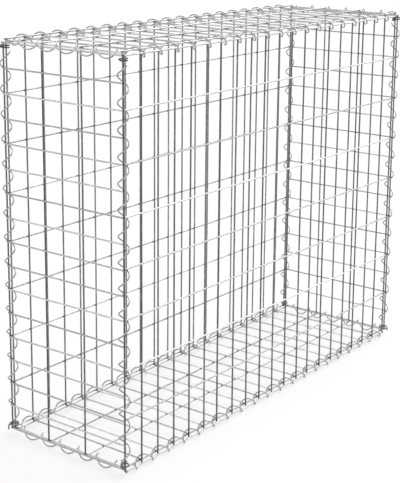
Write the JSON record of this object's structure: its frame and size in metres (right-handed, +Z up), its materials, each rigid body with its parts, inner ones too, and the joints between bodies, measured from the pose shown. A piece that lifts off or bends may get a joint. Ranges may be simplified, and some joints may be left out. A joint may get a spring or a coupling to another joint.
{
  "type": "gabion basket",
  "caption": "Empty box-shaped gabion basket of welded wire mesh, its six panels laced together along every edge by spiral binders, lid closed, ready for stone fill.",
  "frame": {"origin": "on the floor, under the middle of the basket", "axes": "+X along the basket, +Y from the front wall to the back wall, +Z up"},
  "size_m": [1.0288, 0.3278, 0.8278],
  "materials": {
    "mesh_wire": "galvanised, dull grey with a soft sheen",
    "spiral_wire": "galvanised, a little brighter than the mesh"
  },
  "bodies": {
    "root": {"back_bottom_spiral": "spiral_wire", "back_left_spiral": "spiral_wire", "back_panel": "mesh_wire", "back_right_spiral": "spiral_wire", "back_top_spiral": "spiral_wire", "base_panel": "mesh_wire", "front_bottom_spiral": "spiral_wire", "front_left_spiral": "spiral_wire", "front_panel": "mesh_wire", "front_right_spiral": "spiral_wire", "front_top_spiral": "spiral_wire", "left_bottom_spiral": "spiral_wire", "left_panel": "mesh_wire", "left_top_spiral": "spiral_wire", "lid_panel": "mesh_wire", "right_bottom_spiral": "spiral_wire", "right_panel": "mesh_wire", "right_top_spiral": "spiral_wire"}
  },
  "joints": []
}
